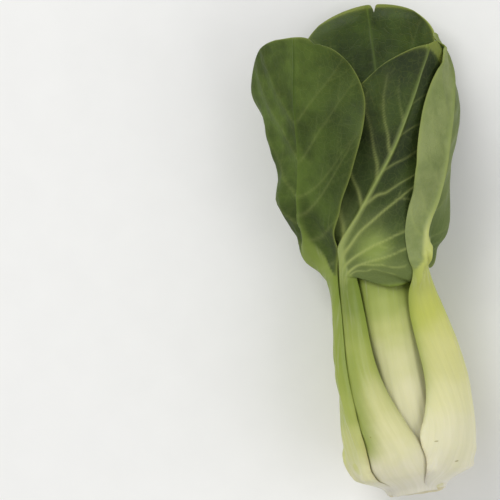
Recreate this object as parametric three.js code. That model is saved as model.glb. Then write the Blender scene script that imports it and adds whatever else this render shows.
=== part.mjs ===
// One head of green-stemmed bok choy, as picked and cut, lying on its side.
//
// Millimetres, +Z up. The head lies along +Y: the cut end of the crown is at
// -Y, the leaf tips at +Y. The origin is on the surface that the head lies on,
// under the middle of its box.
//
// Every leaf is one piece, fleshy stalk and thin blade together, and all of
// them sit round a short conical crown. A leaf is laid out in the head's own
// cylindrical frame: s runs along the head from the cut end, the angle runs
// round it (0 to the right, 90 up), and r is the distance from the head's axis.
// The leaves are placed from the heart outwards, and each one drapes over the
// leaves already there, so that none of them cuts into another.
import * as THREE from "three";

// ---------------------------------------------------------------- dimensions
const LEAN_DEG = 8; // the head leans this far to -X as it goes along +Y
const HEAD_X = 23.28; // where the middle of the cut end lies, from the origin
const HEAD_Y = -106.88;
const AXIS_HEIGHT = 32.7; // of the head's axis above the surface
const ROUND_TO_S = 62; // the bulb is round up to here
const FLAT_FROM_S = 135; // and the blades are pressed flatter from here on
const BULB_UP = 0.93; // height over breadth, above and below the axis
const BULB_DOWN = 0.95;
const BLADES_UP = 0.73;
const BLADES_DOWN = 0.75;
const GAP = 0.8; // clear space between neighbouring leaves
const BLADE_T = 1.5; // blade thickness, radially
const EDGE_T = 1.25; // leaf margin thickness
const ROWS_STALK = 10; // faces along the stalk,
const ROWS_LOW = 5; // the lower blade
const ROWS_TOP = 6; // and the upper blade
const COLS = 10; // faces across a leaf

// The crown: the short stem that the leaves grow on, cut flat at s = 0.
const CROWN = [
  [0, 12.2],
  [1.0, 12.8],
  [3.0, 12.6],
  [5.0, 11.2],
  [7.5, 9.0],
  [10.0, 6.8],
  [13.0, 4.4],
  [16.0, 2.4],
];
const CROWN_SIDES = 28;

// Each leaf, from the heart outwards.
//   mid   [s, angle in degrees] of the midrib
//   r     [s, radius in mm] of its inner face, before it drapes over others
//   half  [s, half width in mm] of the stalk, from its base to the blade
//   thick [s, thickness in mm] along the stalk and midrib
//   base, neck, wide, tip: s of the stalk's foot, of the stalk's top, of the
//         blade's widest line and of the blade's tip
//   blade half width of the blade;  bend  1 / radius across the blade, or [s, that]
//   full  how quickly the blade widens (below 1: at once);  lobe  how far its
//         lower left and lower right corners hang, in mm
//   ease  mm over which the blade takes up a turn of the midrib, if not 1.5
//   wave  [height in mm, waves per 100 mm, phase] of the blade's margin
const OUTER_R = [[3, 14], [9, 18.6], [15, 22.4], [20, 23.6], [30, 24], [41, 23.5], [55, 22.2], [69, 20.2], [82, 18.8], [95, 18.4], [105, 19.4], [117, 23], [141, 32], [165, 37], [190, 40], [215, 41]];
const INNER_R = [[8, 7], [20, 7.4], [41, 7.8], [60, 7.2], [82, 6.8], [95, 7], [117, 9.5], [141, 14], [165, 18], [190, 21]];
const HEART_R = [[11, 4], [20, 3.6], [40, 3.8], [60, 3.6], [80, 3.6], [95, 3.8], [130, 7], [160, 9]];
const OUTER_T = [[3, 2.4], [9, 5.2], [15, 5.9], [30, 6.4], [41, 6.2], [55, 5.8], [69, 5.3], [82, 4.8], [95, 4.2], [112, 3.2], [150, 2.3], [215, 1.5]];
const SECOND_T = [[4, 2.2], [10, 4.6], [20, 5.2], [41, 5.0], [60, 4.5], [82, 3.9], [95, 3.5], [112, 2.9], [150, 2.2], [215, 1.5]];
const INNER_T = [[6, 2.2], [14, 3.8], [25, 4.2], [50, 3.8], [75, 3.3], [95, 3.0], [112, 2.6], [150, 2.1], [215, 1.5]];
const HEART_T = [[11, 1.8], [18, 2.6], [40, 2.6], [70, 2.3], [95, 2.1], [150, 1.6]];

const LEAVES = [
  { name: "heart_leaf_1", mid: [[10, 20], [60, 30], [150, 40]], r: HEART_R, thick: HEART_T, half: [[10, 4], [30, 4.6], [60, 4.4], [85, 4]], base: 12, neck: 74, wide: 96, tip: 116, blade: 9, bend: 1 / 11, full: 1, lobe: [0, 0], wave: [0.4, 2.5, 0.3] },
  { name: "heart_leaf_2", mid: [[10, 158], [60, 162], [150, 150]], r: HEART_R, thick: HEART_T, half: [[10, 4.4], [30, 5], [60, 4.8], [85, 4.4]], base: 11.5, neck: 78, wide: 102, tip: 126, blade: 12, bend: 1 / 14, full: 1, lobe: [0, 0], wave: [0.5, 2.5, 1.3] },
  { name: "heart_leaf_3", mid: [[10, 278], [60, 282], [150, 275]], r: HEART_R, thick: HEART_T, half: [[10, 5], [30, 5.6], [60, 5.4], [88, 5]], base: 11, neck: 82, wide: 108, tip: 136, blade: 15, bend: 1 / 18, full: 1, lobe: [0, 0], wave: [0.6, 2.4, 2.3] },
  { name: "inner_leaf_right", mid: [[8, 335], [50, 335], [100, 338], [180, 345]], r: INNER_R, thick: INNER_T, half: [[8, 7.5], [24, 9], [45, 8.4], [70, 7.4], [92, 6.6]], base: 8.5, neck: 88, wide: 120, tip: 154, blade: 19, bend: 1 / 24, full: 1, lobe: [0.5, 1], wave: [0.8, 2.6, 2.1] },
  { name: "inner_leaf_back", mid: [[8, 222], [50, 224], [100, 228], [180, 232]], r: INNER_R, thick: INNER_T, half: [[8, 8], [24, 9.6], [45, 9], [70, 8], [92, 7]], base: 8, neck: 90, wide: 124, tip: 162, blade: 22, bend: 1 / 28, full: 1, lobe: [0.5, 1], wave: [0.9, 2.6, 4.0] },
  { name: "inner_leaf_front", mid: [[8, 82], [40, 87], [70, 93], [90, 95], [180, 95]], r: [[8, 7], [14, 12], [20, 14.6], [30, 15.8], [45, 15.8], [60, 14.8], [82, 13.4], [95, 13], [117, 15], [141, 19], [175, 23]], thick: SECOND_T, half: [[8, 9], [20, 12], [35, 12.2], [60, 12.4], [82, 12.4], [95, 12], [106, 11]], base: 7, neck: 106, wide: 140, tip: 170, blade: 22, bend: 1 / 30, full: 1, lobe: [0.5, 1], wave: [1.0, 2.6, 0.8] },
  { name: "back_leaf", mid: [[6, 284], [50, 285], [100, 286], [150, 286.5], [215, 285.5]], r: [[6, 10], [10, 11], [20, 13], [41, 13.4], [60, 12.2], [82, 11], [95, 11.6], [117, 16], [141, 22], [165, 27], [190, 30.5], [215, 32]], thick: SECOND_T, half: [[6, 11], [20, 13], [45, 12], [70, 10.4], [96, 9]], base: 5.5, neck: 102, wide: 198, tip: 215.8, blade: 31, bend: 1 / 90, full: 1.5, lobe: [0, 0], wave: [1.3, 2.2, 1.9] },
  { name: "right_low_leaf", mid: [[4, -8], [40, -4], [60, 0], [80, 1], [95, 2], [120, 3], [160, 3]], r: [[4, 10.6], [9, 12.4], [15, 15.4], [20, 16.8], [30, 18.4], [41, 19.6], [55, 20.4], [69, 19.4], [82, 17.6], [95, 15.6], [117, 16.4], [141, 19.5], [165, 22]], thick: SECOND_T, half: [[4, 11], [12, 14], [20, 15.5], [45, 13.5], [75, 10.4], [96, 8.6]], base: 4.5, neck: 97, wide: 126, tip: 156, blade: 14, bend: 1 / 24, full: 1, lobe: [0.5, 1], wave: [1.2, 2.5, 3.3] },
  { name: "left_low_leaf", mid: [[4, 200], [40, 204], [90, 208], [190, 205]], r: [[4, 11], [9, 13], [15, 15.6], [20, 16.4], [30, 16.8], [41, 16.4], [55, 15.4], [69, 14.2], [82, 13.4], [95, 13.2], [117, 17], [141, 24], [165, 29.5], [190, 33]], thick: SECOND_T, half: [[4, 10], [12, 12.5], [20, 13.5], [45, 12], [75, 10], [96, 8.6]], base: 4.5, neck: 98, wide: 138, tip: 176, blade: 25, bend: 1 / 40, full: 1, lobe: [0.5, 1], wave: [1.3, 2.5, 5.0] },
  { name: "under_leaf_left", mid: [[4, 239], [40, 239], [85, 236], [105, 230], [120, 224], [150, 218], [190, 218]], r: [[3, 14], [9, 19], [15, 23.4], [20, 25], [30, 25.6], [41, 25], [55, 23], [69, 20.8], [82, 19], [95, 18.6], [105, 20.5], [117, 24.5], [141, 33], [165, 37.5], [190, 39.5], [215, 40]], thick: OUTER_T, half: [[3, 11], [9, 14.5], [20, 18], [45, 14.5], [75, 11], [96, 9.4]], base: 3, neck: 100, wide: 146, tip: 194, blade: 27, bend: 1 / 70, full: 1.2, lobe: [0, 0], wave: [1.0, 2.3, 0.9] },
  { name: "under_leaf_right", mid: [[4, 301], [40, 301], [80, 299], [100, 294], [120, 284], [150, 271], [190, 269]], r: [[3, 14], [9, 18.6], [15, 22.4], [20, 23.6], [30, 24], [41, 23.5], [55, 22.2], [69, 20.2], [82, 18.8], [95, 18.4], [105, 20.5], [117, 26], [141, 37], [165, 40.8], [190, 41.8], [215, 42.4]], thick: OUTER_T, half: [[3, 11], [9, 14.5], [20, 18], [45, 14.5], [75, 11], [96, 9.4]], base: 2.8, neck: 99, wide: 143, tip: 190, blade: 28, bend: 1 / 400, full: 1.2, lobe: [0, 0], wave: [0.6, 2.3, 2.7] },
  { name: "front_leaf", mid: [[3, 104], [9.5, 107.5], [14, 109], [19, 110], [26, 115], [33, 121], [46, 132], [65, 146], [80, 153.5], [92, 158], [100, 158], [108, 149], [115, 135], [120, 123], [125, 111.5], [130, 102], [135, 93.5], [145, 78.5], [153, 69], [162, 61], [172, 53], [181, 47], [194, 39]], r: [[3, 14], [9, 18.6], [15, 22.4], [20, 23.6], [30, 24], [41, 23.5], [55, 22.2], [69, 20.2], [82, 18.8], [95, 18], [105, 18.4], [117, 20.5], [130, 23.8], [144, 27.2], [165, 33], [180, 37.5], [195, 40.5]], thick: OUTER_T, half: [[3, 10], [9.5, 13.6], [14, 14], [19, 13.3], [26, 11.8], [33, 11], [46, 9.8], [65, 9], [86, 8.2], [100, 7.6]], base: 2.4, neck: 100, wide: 138, tip: 194, blade: 31, bend: [[100, 1 / 31], [150, 1 / 31], [178, 1 / 60], [195, 1 / 70]], full: 0.7, lobe: [13, 26], ease: 12, wave: [1.2, 2.4, 0.4] },
  { name: "right_leaf", mid: [[3, 31], [9, 30], [15, 30], [20, 29], [33, 27.5], [45, 29], [58, 33.5], [80, 40], [92, 43.5], [99, 46.5], [104, 49.5], [112, 48], [119, 41.5], [126, 34], [133, 31], [142, 29.5], [149, 29], [160, 25], [170, 19], [183, 10], [200, 9]], r: [[3, 13], [9, 16.4], [15, 20.6], [20, 22.8], [30, 24], [41, 23.5], [55, 22.2], [69, 20.2], [82, 18.8], [95, 18.8], [104, 21.2], [115, 25.6], [127, 30.4], [144, 36.4], [160, 39.8], [180, 41.2], [190, 39.8], [198, 36.5]], thick: OUTER_T, half: [[3, 9], [9, 12.6], [15, 17], [20, 20.6], [26, 21.6], [33, 19.5], [45, 15.2], [58, 11.8], [80, 9], [90, 8], [99, 6.2]], base: 2.6, neck: 99, wide: 142, tip: 200, blade: 17.8, bend: 1 / 33, full: 2.3, lobe: [0, 15], wave: [1.2, 2.2, 1.1] },
  { name: "left_leaf", mid: [[4, 163], [12, 162], [20, 163], [33, 169], [46, 176], [65, 186], [86, 191], [98, 188], [110, 178], [122, 167], [135, 157.5], [147, 150], [160, 144], [180, 137], [206, 128.5]], r: [[4, 13], [9, 16.8], [15, 20.8], [20, 22.6], [30, 23.2], [41, 22.4], [55, 20.8], [69, 19.2], [82, 18.2], [95, 18.2], [105, 19.4], [117, 23], [141, 32], [165, 37], [190, 40], [215, 41]], thick: OUTER_T, half: [[4, 6.5], [12, 9.2], [20, 11.8], [30, 13], [45, 13.6], [75, 11.2], [98, 8.8]], base: 2.8, neck: 102, wide: 180, tip: 206, blade: 36, bend: 1 / 70, full: 1.6, lobe: [0, 0], wave: [1.4, 2.2, 2.6] },
];

// ------------------------------------------------------------------ helpers
const RAD = Math.PI / 180;

// A smooth curve through [x, y] pairs, flat beyond its ends.
function curve(table, x) {
  const n = table.length;
  if (x <= table[0][0]) return table[0][1];
  if (x >= table[n - 1][0]) return table[n - 1][1];
  let k = 0;
  while (x > table[k + 1][0]) k++;
  const slope = (i) =>
    i <= 0 || i >= n - 1
      ? 0.5 * (table[Math.min(i + 1, n - 1)][1] - table[Math.max(i - 1, 0)][1]) /
        (table[Math.min(i + 1, n - 1)][0] - table[Math.max(i - 1, 0)][0])
      : (table[i + 1][1] - table[i - 1][1]) / (table[i + 1][0] - table[i - 1][0]);
  const [x0, y0] = table[k];
  const [x1, y1] = table[k + 1];
  const h = x1 - x0;
  const t = (x - x0) / h;
  const a = t * t * (3 - 2 * t);
  return (
    y0 + (y1 - y0) * a + h * (t * (1 - t) * (1 - t) * slope(k) - t * t * (1 - t) * slope(k + 1))
  );
}

const smooth = (x, a, b) => {
  const t = Math.min(1, Math.max(0, (x - a) / (b - a)));
  return t * t * (3 - 2 * t);
};

// A place in the head's frame, from its cylindrical place, as the head lies:
// round at the bulb, pressed flatter towards the blades.
function lie(angle, s, r) {
  const f = smooth(s, ROUND_TO_S, FLAT_FROM_S);
  const up = BULB_UP + (BLADES_UP - BULB_UP) * f;
  const down = BULB_DOWN + (BLADES_DOWN - BULB_DOWN) * f;
  const d = r * Math.sin(angle);
  const e = 5;
  const z = 0.5 * (up + down) * d + 0.5 * (up - down) * (Math.sqrt(d * d + e * e) - e);
  return [r * Math.cos(angle), s, Math.max(0, AXIS_HEIGHT + z)];
}

// -------------------------------------------- the room that is already taken
const STEP_A = 2; // degrees
const STEP_S = 1;
const NA = 360 / STEP_A;
const NS = 232;
const taken = new Float32Array(NA * NS); // the outermost radius so far

function takenAt(angle, s) {
  const a = ((((angle / RAD) % 360) + 360) % 360) / STEP_A;
  const y = Math.min(NS - 1.001, Math.max(0, s / STEP_S));
  const i = Math.floor(a) % NA;
  const j = Math.floor(y);
  const k = (i + 1) % NA;
  return Math.max(taken[j * NA + i], taken[j * NA + k], taken[(j + 1) * NA + i], taken[(j + 1) * NA + k]);
}

function take(angle, s, r) {
  const i = Math.floor(((((angle / RAD) % 360) + 360) % 360) / STEP_A) % NA;
  const j = Math.floor(s / STEP_S);
  if (j >= 0 && j < NS && r > taken[j * NA + i]) taken[j * NA + i] = r;
}

// The three corners, with their shares, round a point of one face of the net.
// A face is two triangles that meet along the line from its first corner.
const corners = (a, b) =>
  a >= b
    ? [[0, 0, 1 - a], [1, 0, a - b], [1, 1, b]]
    : [[0, 0, 1 - b], [0, 1, b - a], [1, 1, a]];

// That point's angle, s and r, on the inner or the outer side of the leaf.
function between(net, side, i, j, a, b) {
  let x = 0, y = 0, z = 0;
  for (const [di, dj, w] of corners(a, b)) {
    const p = net[j + dj][i + di];
    x += w * p[side] * Math.cos(p.angle);
    y += w * p[side] * Math.sin(p.angle);
    z += w * p.s;
  }
  return [Math.atan2(y, x), z, Math.hypot(x, y)];
}

// ------------------------------------------------------------------ a leaf
function leafNet(leaf) {
  const rows = [];
  const ease = leaf.ease ?? 1.5;
  const slopeOf = (l) => (curve(leaf.mid, l + ease) - curve(leaf.mid, l - ease)) * RAD / (2 * ease);
  for (let j = 0; j <= ROWS_STALK + ROWS_LOW + ROWS_TOP; j++) {
    const row = [];
    for (let i = 0; i <= COLS; i++) {
      const u = (2 * i) / COLS - 1;
      let along, across, inBlade;
      if (j <= ROWS_STALK) {
        const q = Math.pow(j / ROWS_STALK, 1.25);
        along = leaf.base + (leaf.neck - leaf.base) * q;
        across = u * curve(leaf.half, along);
        inBlade = 0;
      } else if (j <= ROWS_STALK + ROWS_LOW) {
        const q = (j - ROWS_STALK) / ROWS_LOW;
        const w = curve(leaf.half, leaf.neck);
        along = leaf.neck + (leaf.wide - leaf.neck) * q - leaf.lobe[u > 0 ? 1 : 0] * u * u * Math.sin(Math.PI * Math.pow(q, 1.1));
        across = u * (w + (leaf.blade - w) * Math.pow(Math.sin((q * Math.PI) / 2), leaf.full));
        inBlade = q;
      } else {
        const q = (j - ROWS_STALK - ROWS_LOW) / ROWS_TOP;
        along = leaf.wide + (leaf.tip - leaf.wide) * q * Math.sqrt(1 - 0.5 * u * u);
        across = u * leaf.blade * Math.sqrt(1 - 0.5 * q * q);
        inBlade = 1;
      }
      const rMid = curve(leaf.r, along);
      const tilt = Math.atan(-rMid * slopeOf(along)); // to the right of +s
      const f = smooth(along, leaf.neck - 8, leaf.neck + 30);
      const bend = (1 - f) / (rMid + 2) + f * (Array.isArray(leaf.bend) ? curve(leaf.bend, along) : leaf.bend);
      const arc = across * Math.cos(tilt);
      const s = along - across * Math.sin(tilt);
      const side = Math.sin(bend * arc) / bend;
      const out = rMid - (1 - Math.cos(bend * arc)) / bend;
      const angle = curve(leaf.mid, along) * RAD - Math.atan2(side, out);
      const wave = leaf.wave[0] * inBlade * Math.pow(Math.abs(u), 1.6) *
        Math.sin(2 * Math.PI * leaf.wave[1] * along / 100 + leaf.wave[2] + (u > 0 ? 1.7 : 0));
      const r = Math.max(2.2, Math.hypot(side, out) + wave);
      const rib = curve(leaf.thick, along);
      const g = smooth(along, leaf.neck - 12, leaf.neck + 22);
      const body = EDGE_T + (rib - EDGE_T) * Math.pow(1 - Math.pow(Math.abs(u), 2.1), 0.9); // fleshy stalk
      const sheet = BLADE_T + (rib - BLADE_T) * Math.exp(-Math.pow(across / 4, 2)) + (EDGE_T - BLADE_T) * u * u;
      row.push({ angle, s, inner: r, outer: r, thick: body * (1 - g) + sheet * g });
    }
    rows.push(row);
  }
  return rows;
}

// Pushes a leaf outwards until it clears everything that is already placed.
function drape(net) {
  const nj = net.length - 1;
  const rest = net.map((row) => row.map((p) => p.inner));
  for (let pass = 0; pass < 60; pass++) {
    let worst = 0;
    const push = net.map((row) => row.map(() => 0));
    for (let j = 0; j < nj; j++)
      for (let i = 0; i < COLS; i++)
        for (let b = 0; b <= 6; b++)
          for (let a = 0; a <= 6; a++) {
            const fa = a / 6, fb = b / 6;
            const [angle, s, r] = between(net, "inner", i, j, fa, fb);
            const short = takenAt(angle, s) + GAP - r;
            if (short <= 0) continue;
            worst = Math.max(worst, short);
            for (const [di, dj, w] of corners(fa, fb))
              push[j + dj][i + di] = Math.max(push[j + dj][i + di], short * Math.min(1, 1.6 * w));
          }
    if (worst < 0.02) break;
    for (let j = 0; j <= nj; j++)
      for (let i = 0; i <= COLS; i++) net[j][i].inner += push[j][i] * 1.01;
    // What is pushed carries its neighbours along, so that the drape is soft.
    if (pass < 8) {
      const p = net.map((row, j) => row.map((q, i) => q.inner - rest[j][i]));
      for (let j = 0; j <= nj; j++)
        for (let i = 0; i <= COLS; i++) {
          let sum = 0, n = 0;
          for (const [di, dj] of [[-1, 0], [1, 0], [0, -1], [0, 1]]) {
            const row = p[j + dj];
            if (row && row[i + di] !== undefined) { sum += row[i + di]; n++; }
          }
          net[j][i].inner = rest[j][i] + Math.max(p[j][i], 0.8 * sum / n);
        }
    }
  }
  for (const row of net) for (const p of row) p.outer = p.inner + p.thick;
  for (let j = 0; j < nj; j++)
    for (let i = 0; i < COLS; i++)
      for (let b = 0; b <= 14; b++)
        for (let a = 0; a <= 20; a++) take(...between(net, "outer", i, j, a / 20, b / 14));
}

// The closed skin of a leaf: inner face, outer face and the margin between.
function leafGeometry(net) {
  const nj = net.length - 1;
  const place = [];
  for (const key of ["inner", "outer"])
    for (const row of net) for (const p of row) place.push(...lie(p.angle, p.s, p[key]));
  const at = (side, i, j) => side * (nj + 1) * (COLS + 1) + j * (COLS + 1) + i;
  const index = [];
  const quad = (a, b, c, d) => index.push(a, b, c, a, c, d);
  for (let j = 0; j < nj; j++)
    for (let i = 0; i < COLS; i++) {
      quad(at(0, i, j), at(0, i, j + 1), at(0, i + 1, j + 1), at(0, i + 1, j));
      quad(at(1, i, j), at(1, i + 1, j), at(1, i + 1, j + 1), at(1, i, j + 1));
    }
  for (let j = 0; j < nj; j++) {
    quad(at(0, 0, j), at(1, 0, j), at(1, 0, j + 1), at(0, 0, j + 1));
    quad(at(0, COLS, j), at(0, COLS, j + 1), at(1, COLS, j + 1), at(1, COLS, j));
  }
  for (let i = 0; i < COLS; i++) {
    quad(at(0, i, 0), at(0, i + 1, 0), at(1, i + 1, 0), at(1, i, 0));
    quad(at(0, i, nj), at(1, i, nj), at(1, i + 1, nj), at(0, i + 1, nj));
  }
  const g = new THREE.BufferGeometry();
  g.setAttribute("position", new THREE.Float32BufferAttribute(place, 3));
  g.setIndex(index);
  g.computeVertexNormals();
  return g;
}

// ------------------------------------------------------------------ the head
const head = new THREE.Group();

const crownProfile = [new THREE.Vector2(0, 0), ...CROWN.map(([s, r]) => new THREE.Vector2(r, s)), new THREE.Vector2(0, CROWN[CROWN.length - 1][0] + 1)];
const crownGeometry = new THREE.LatheGeometry(crownProfile, CROWN_SIDES);
const crownPlace = crownGeometry.getAttribute("position");
for (let i = 0; i < crownPlace.count; i++) {
  const x = crownPlace.getX(i), s = crownPlace.getY(i), z = crownPlace.getZ(i);
  crownPlace.setXYZ(i, ...lie(Math.atan2(z, x), s, Math.hypot(x, z)));
}
crownGeometry.computeVertexNormals();
const crown = new THREE.Mesh(crownGeometry, new THREE.MeshStandardMaterial({ color: 0xe0dbc8, roughness: 0.7, metalness: 0 }));
crown.name = "crown";
head.add(crown);
for (let i = 0; i < NA; i++)
  for (let j = 0; j < NS; j++) {
    const s = j * STEP_S;
    if (s <= CROWN[CROWN.length - 1][0] + 1) taken[j * NA + i] = curve(CROWN, s);
  }

for (const leaf of LEAVES) {
  const net = leafNet(leaf);
  drape(net);
  const young = leaf.name.startsWith("heart");
  const mesh = new THREE.Mesh(
    leafGeometry(net),
    new THREE.MeshStandardMaterial({ color: young ? 0x9aa94f : 0x6f8440, roughness: 0.45, metalness: 0 }),
  );
  mesh.name = leaf.name;
  head.add(mesh);
}

head.rotation.z = LEAN_DEG * RAD;
head.position.set(HEAD_X, HEAD_Y, 0);

const bokChoy = new THREE.Group();
bokChoy.add(head);
export default bokChoy;
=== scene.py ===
"""One head of green-stemmed bok choy, lying on its side on a pale floor.

The leaves follow the same layout as the CAD model: each one is given by its
midrib, its widths and its radius round the head's axis, and drapes over the
leaves inside it. Here they are finer, with veins, ribs and wavy margins.
"""
import math

import bpy
import numpy as np
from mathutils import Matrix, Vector


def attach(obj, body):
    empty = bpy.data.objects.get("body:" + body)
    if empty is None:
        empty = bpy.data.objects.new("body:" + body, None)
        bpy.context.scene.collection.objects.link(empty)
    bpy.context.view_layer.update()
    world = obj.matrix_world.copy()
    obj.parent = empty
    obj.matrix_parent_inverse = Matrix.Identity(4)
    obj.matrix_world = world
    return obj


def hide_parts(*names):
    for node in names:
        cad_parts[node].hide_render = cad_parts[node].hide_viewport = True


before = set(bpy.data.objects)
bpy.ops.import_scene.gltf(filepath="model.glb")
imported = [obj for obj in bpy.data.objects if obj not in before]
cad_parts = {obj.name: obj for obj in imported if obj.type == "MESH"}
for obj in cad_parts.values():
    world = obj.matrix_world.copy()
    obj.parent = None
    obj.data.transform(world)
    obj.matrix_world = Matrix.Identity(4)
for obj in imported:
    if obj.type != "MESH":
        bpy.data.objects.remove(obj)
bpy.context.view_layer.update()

# ---------------------------------------------------------------- dimensions, in mm
LEAN_DEG = 8  # the head leans this far to -X as it goes along +Y
HEAD_X = 23.28  # where the middle of the cut end lies, from the origin
HEAD_Y = -106.88
AXIS_HEIGHT = 32.7  # of the head's axis above the surface
ROUND_TO_S = 62  # the bulb is round up to here
FLAT_FROM_S = 135  # and the blades are pressed flatter from here on
BULB_UP = 0.93  # height over breadth, above and below the axis
BULB_DOWN = 0.95
BLADES_UP = 0.73
BLADES_DOWN = 0.75
GAP = 0.8  # clear space between neighbouring leaves
BLADE_T = 1.5  # blade thickness, radially
EDGE_T = 1.25  # leaf margin thickness

# The crown: the short stem that the leaves grow on, cut flat at s = 0.
CROWN = [
  [0, 12.2],
  [1.0, 12.8],
  [3.0, 12.6],
  [5.0, 11.2],
  [7.5, 9.0],
  [10.0, 6.8],
  [13.0, 4.4],
  [16.0, 2.4],
]

# Each leaf, from the heart outwards.
#   mid   [s, angle in degrees] of the midrib
#   r     [s, radius in mm] of its inner face, before it drapes over others
#   half  [s, half width in mm] of the stalk, from its base to the blade
#   thick [s, thickness in mm] along the stalk and midrib
#   base, neck, wide, tip: s of the stalk's foot, of the stalk's top, of the
#         blade's widest line and of the blade's tip
#   blade half width of the blade  bend  1 / radius across the blade, or [s, that]
#   full  how quickly the blade widens (below 1: at once)  lobe  how far its
#         lower left and lower right corners hang, in mm
#   ease  mm over which the blade takes up a turn of the midrib, if not 1.5
#   wave  [height in mm, waves per 100 mm, phase] of the blade's margin
OUTER_R = [[3, 14], [9, 18.6], [15, 22.4], [20, 23.6], [30, 24], [41, 23.5], [55, 22.2], [69, 20.2], [82, 18.8], [95, 18.4], [105, 19.4], [117, 23], [141, 32], [165, 37], [190, 40], [215, 41]]
INNER_R = [[8, 7], [20, 7.4], [41, 7.8], [60, 7.2], [82, 6.8], [95, 7], [117, 9.5], [141, 14], [165, 18], [190, 21]]
HEART_R = [[11, 4], [20, 3.6], [40, 3.8], [60, 3.6], [80, 3.6], [95, 3.8], [130, 7], [160, 9]]
OUTER_T = [[3, 2.4], [9, 5.2], [15, 5.9], [30, 6.4], [41, 6.2], [55, 5.8], [69, 5.3], [82, 4.8], [95, 4.2], [112, 3.2], [150, 2.3], [215, 1.5]]
SECOND_T = [[4, 2.2], [10, 4.6], [20, 5.2], [41, 5.0], [60, 4.5], [82, 3.9], [95, 3.5], [112, 2.9], [150, 2.2], [215, 1.5]]
INNER_T = [[6, 2.2], [14, 3.8], [25, 4.2], [50, 3.8], [75, 3.3], [95, 3.0], [112, 2.6], [150, 2.1], [215, 1.5]]
HEART_T = [[11, 1.8], [18, 2.6], [40, 2.6], [70, 2.3], [95, 2.1], [150, 1.6]]

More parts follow.
